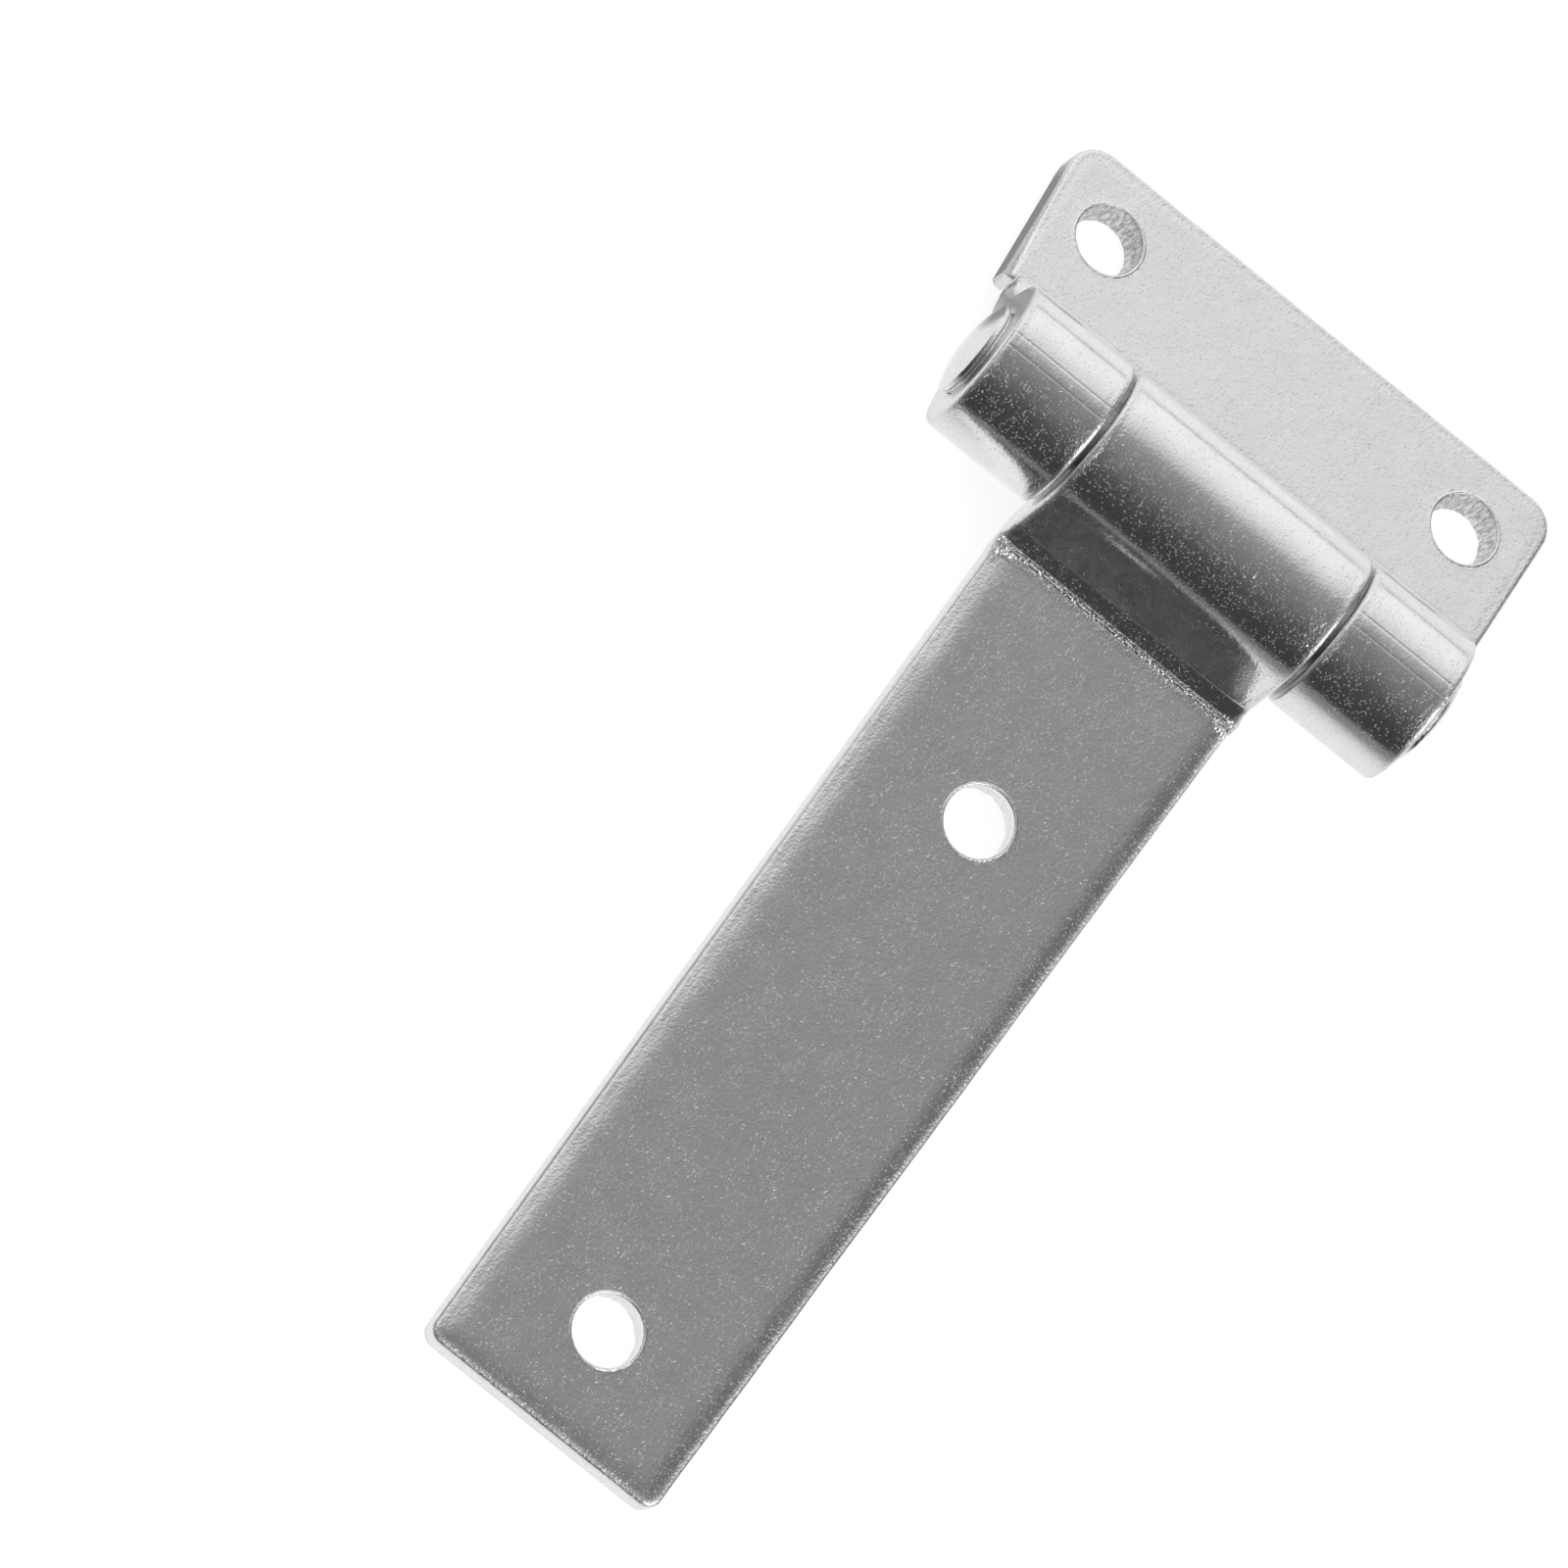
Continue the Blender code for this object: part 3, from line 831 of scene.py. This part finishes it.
def make_pin():
    """The riveted pin: smooth shank and closed domes that are a little uneven."""
    half, crown = pin_profile()
    outline = [(radius, -along) for radius, along in reversed(half)] + half[1:]
    rim = FRAME_BARREL_LENGTH / 2 + HEAD_GAP + HEAD_RIM / 2
    round_scale, along_scale = BEATEN_SCALES
    bm = bmesh.new()
    rings = []
    for radius, along in outline:
        on_head = abs(along) > rim
        ring = []
        for step in range(HOLE_SEGMENTS):
            angle = 2 * math.pi * step / HOLE_SEGMENTS
            side = Vector((math.cos(angle), 0.0, math.sin(angle)))
            where = side * radius * round_scale + Vector((0, along * along_scale, 0))
            beaten = HEAD_BEATEN * noise.noise(where)
            out = along + (math.copysign(beaten, along) if on_head else 0.0)
            ring.append(bm.verts.new((radius * side.x, out, radius * side.z)))
        rings.append(ring)
    for ring, after in zip(rings, rings[1:]):
        for step in range(HOLE_SEGMENTS):
            turn = (step + 1) % HOLE_SEGMENTS
            bm.faces.new((ring[step], ring[turn], after[turn], after[step]))
    for ring, along in ((rings[0], -crown), (rings[-1], crown)):
        pole = bm.verts.new((0.0, along, 0.0))
        for step in range(HOLE_SEGMENTS):
            bm.faces.new((ring[step], ring[(step + 1) % HOLE_SEGMENTS], pole))
    bmesh.ops.recalc_face_normals(bm, faces=bm.faces)
    mesh = bpy.data.meshes.new("hinge_pin_steel")
    bm.to_mesh(mesh)
    bm.free()
    layer = mesh.attributes.new("edge_mm", "FLOAT", "POINT")
    layer.data.foreach_set("value", [abs(abs(v.co.y) - rim) * PIN_WEAR_SPREAD for v in mesh.vertices])
    pin = bpy.data.objects.new("hinge_pin_steel", mesh)
    bpy.context.scene.collection.objects.link(pin)
    material = plated_steel("plated_pin_steel", (), PIN_GRAIN_DEPTH, 0.0)
    finish_piece(pin, PIN_AXIS, material, "frame", "hinge_pin")


# ---------------------------------------------------------------- floor, light and camera


FLOOR_SIZE = 6.0
FLOOR_DROP = 0.00004
FLOOR_SHADE = 0.30
FLOOR_ROUGHNESS = 0.9
FLOOR_GLOW = 0.78

# What the metal mirrors of the floor: glow behind the tip, beside the strap and towards the leaf
GLOW_SIZE = 2.0
GLOW_DROP = 0.00008
GLOW_TIP_RANGE = (-0.096, -0.085)
GLOW_SIDE_RANGE = (0.026, 0.020)
GLOW_LEAF_RANGE = (-0.05, 0.03)
GLOW_LEAF_LEVELS = (0.25, 0.95)
GLOW_FADE_RANGE = (0.20, 0.60)
GLOW_FAR_LEVEL = 0.35
DARK_PATCH_PLACE = (0.0665, 0.038, 0.0)
DARK_PATCH_RANGE = (0.0075, 0.013)
DARK_PATCH_LEVEL = 0.33

# The studio's light from its dark side to its bright side, as (place, level)
BRIGHT_SIDE = (0.707, 0.707, 0.0)
STUDIO_LEVELS = (
    (0.0, 0.06), (0.16, 0.05), (0.21, 0.06), (0.255, 0.09),
    (0.31, 0.13), (0.367, 0.17), (0.427, 0.22), (0.487, 0.28), (0.547, 0.33), (0.578, 0.38),
    (0.600, 0.56), (0.655, 0.76), (0.686, 0.89), (0.738, 1.00), (0.77, 1.07), (1.0, 1.05),
)
BACKDROP = (0.94, 0.94, 0.94, 1.0)

# Two dimmer sides, as range and level, and soft windows, as middle's direction and the cosines
# where the light starts and is full
NEAR_SIDE = (-0.20, -0.36, 1.0, 0.62)
FAR_SIDE = (0.66, 0.82, 1.0, 0.35)
WINDOWS = (((-0.25, -0.72, 0.65), 0.85, 0.92), ((-0.45, -0.60, 0.66), 0.84, 0.89))
WINDOW_SIDE_RANGE = (-0.26, -0.36)

FILL_STRENGTH = 2.6
FILL_SPREAD = math.radians(80)
FILL_TURN = (math.radians(12), math.radians(-14), 0.0)

# Camera, placed and turned in the frame of the strap's front edge at its tip
LENS_MM = 575.9
SENSOR_MM = 36.0
FARTHEST_VIEW = 20.0
CAMERA_PLACE = (-0.71666, 0.45273, 2.61514)
CAMERA_TURN = tuple(math.radians(angle) for angle in (7.8947, -17.3623, -53.5935))


def flat_stage(name, size, height):
    bm = bmesh.new()
    bmesh.ops.create_grid(bm, x_segments=1, y_segments=1, size=size)
    mesh = bpy.data.meshes.new(name)
    bm.to_mesh(mesh)
    bm.free()
    material = bpy.data.materials.new(name)
    material.use_nodes = True
    mesh.materials.append(material)
    obj = bpy.data.objects.new(name, mesh)
    obj.location.z = height
    bpy.context.scene.collection.objects.link(obj)
    return obj, Nodes(material.node_tree)


def make_floor():
    """A pale floor that glows a little, as a light table does, so that shadows stay faint."""
    floor, nodes = flat_stage("floor", FLOOR_SIZE, -FLOOR_DROP)
    shader = nodes.tree.nodes["Principled BSDF"]
    shader.inputs["Base Color"].default_value = (FLOOR_SHADE, FLOOR_SHADE, FLOOR_SHADE, 1.0)
    shader.inputs["Roughness"].default_value = FLOOR_ROUGHNESS
    shader.inputs["Specular IOR Level"].default_value = 0.0
    shader.inputs["Emission Color"].default_value = (1.0, 1.0, 1.0, 1.0)
    shader.inputs["Emission Strength"].default_value = FLOOR_GLOW
    floor.visible_glossy = False


def make_floor_glow():
    """What the metal mirrors in place of the floor. The camera doesn't see it.

    It is bright near the hinge and darker further off, with a dark patch beside the frame leaf.
    """
    glow, nodes = flat_stage("floor_glow", GLOW_SIZE, -GLOW_DROP)
    glow.visible_camera = False
    glow.visible_diffuse = False
    glow.visible_shadow = False
    nodes.tree.nodes.remove(nodes.tree.nodes["Principled BSDF"])
    place = nodes.add("ShaderNodeTexCoord").outputs["Object"]
    split = nodes.add("ShaderNodeSeparateXYZ", {0: place})
    x, y = split.outputs[0], nodes.math("ABSOLUTE", split.outputs[1])
    behind_tip = nodes.ramp(x, *GLOW_TIP_RANGE)
    beside_strap = nodes.math("MULTIPLY", nodes.ramp(y, *GLOW_SIDE_RANGE), behind_tip)
    level = nodes.math("MAXIMUM", nodes.ramp(x, *GLOW_LEAF_RANGE, *GLOW_LEAF_LEVELS), beside_strap)
    centre_gap = nodes.add("ShaderNodeVectorMath", {0: place}, operation="LENGTH").outputs["Value"]
    level = nodes.math("MULTIPLY", level, nodes.ramp(centre_gap, *GLOW_FADE_RANGE, 1.0, GLOW_FAR_LEVEL))
    patch = nodes.add("ShaderNodeVectorMath", {0: place, 1: DARK_PATCH_PLACE}, operation="DISTANCE")
    patch = nodes.ramp(patch.outputs["Value"], *DARK_PATCH_RANGE, DARK_PATCH_LEVEL, 1.0)
    emission = nodes.add("ShaderNodeEmission", {"Strength": nodes.math("MULTIPLY", level, patch)})
    output = nodes.tree.nodes["Material Output"]
    nodes.tree.links.new(emission.outputs[0], output.inputs["Surface"])


def make_world():
    """A studio that is bright on one side and dark on the other, with two soft windows.

    The camera sees a plain backdrop in its place.
    """
    world = bpy.data.worlds.new("studio")
    bpy.context.scene.world = world
    world.use_nodes = True
    nodes = Nodes(world.node_tree)

    def scaled(light, amount):
        links = {0: light, "Scale": amount}
        return nodes.add("ShaderNodeVectorMath", links, operation="SCALE").outputs[0]

    direction = nodes.add("ShaderNodeTexCoord").outputs["Generated"]
    side = nodes.add("ShaderNodeSeparateXYZ", {0: direction}).outputs[1]
    key = nodes.add("ShaderNodeVectorMath", {0: direction, 1: BRIGHT_SIDE}, operation="DOT_PRODUCT")
    key = nodes.math("MULTIPLY_ADD", key.outputs["Value"], 0.5, 0.5)
    ramp = nodes.add("ShaderNodeValToRGB", {0: key})
    elements = ramp.color_ramp.elements
    while len(elements) < len(STUDIO_LEVELS):
        elements.new(0.5)
    for element, (position, level) in zip(elements, STUDIO_LEVELS):
        element.position = position
        element.color = (level, level, level, 1.0)
    studio = scaled(ramp.outputs[0], nodes.ramp(side, *NEAR_SIDE))
    for middle, dim, bright in WINDOWS:
        facing = nodes.add("ShaderNodeVectorMath", {0: direction, 1: middle}, operation="DOT_PRODUCT")
        window = nodes.ramp(facing.outputs["Value"], dim, bright)
        window = nodes.math("MULTIPLY", window, nodes.ramp(side, *WINDOW_SIDE_RANGE))
        studio = nodes.add("ShaderNodeVectorMath", {0: studio, 1: window}, operation="ADD").outputs[0]
    studio = scaled(studio, nodes.ramp(side, *FAR_SIDE))
    seen = nodes.add("ShaderNodeLightPath").outputs["Is Camera Ray"]
    shown = nodes.add("ShaderNodeMix", {0: seen, 6: studio, 7: BACKDROP}, data_type="RGBA").outputs[2]
    nodes.tree.links.new(shown, world.node_tree.nodes["Background"].inputs["Color"])


def make_fill():
    """A broad light from above that whitens the floor and isn't mirrored in the metal."""
    light = bpy.data.lights.new("fill", "SUN")
    light.energy = FILL_STRENGTH
    light.angle = FILL_SPREAD
    obj = bpy.data.objects.new("fill", light)
    obj.rotation_euler = FILL_TURN
    obj.visible_glossy = False
    bpy.context.scene.collection.objects.link(obj)


def make_camera():
    """A long lens that looks steeply down at the hinge from beside the strap's tip."""
    camera = bpy.data.cameras.new("camera")
    camera.sensor_width = SENSOR_MM
    camera.lens = LENS_MM
    camera.clip_end = FARTHEST_VIEW
    obj = bpy.data.objects.new("camera", camera)
    tip = STRAP_POSE @ Matrix.Translation((-STRAP_REACH, 0.0, -FACE_DROP))
    turn = Euler(CAMERA_TURN).to_matrix().to_4x4()
    obj.matrix_world = tip @ Matrix.Translation(CAMERA_PLACE) @ turn
    bpy.context.scene.collection.objects.link(obj)
    bpy.context.scene.camera = obj


make_strap()
make_frame_leaf()
make_pin()
make_floor()
make_floor_glow()
make_world()
make_fill()
make_camera()
bpy.context.scene.view_settings.view_transform = "Standard"
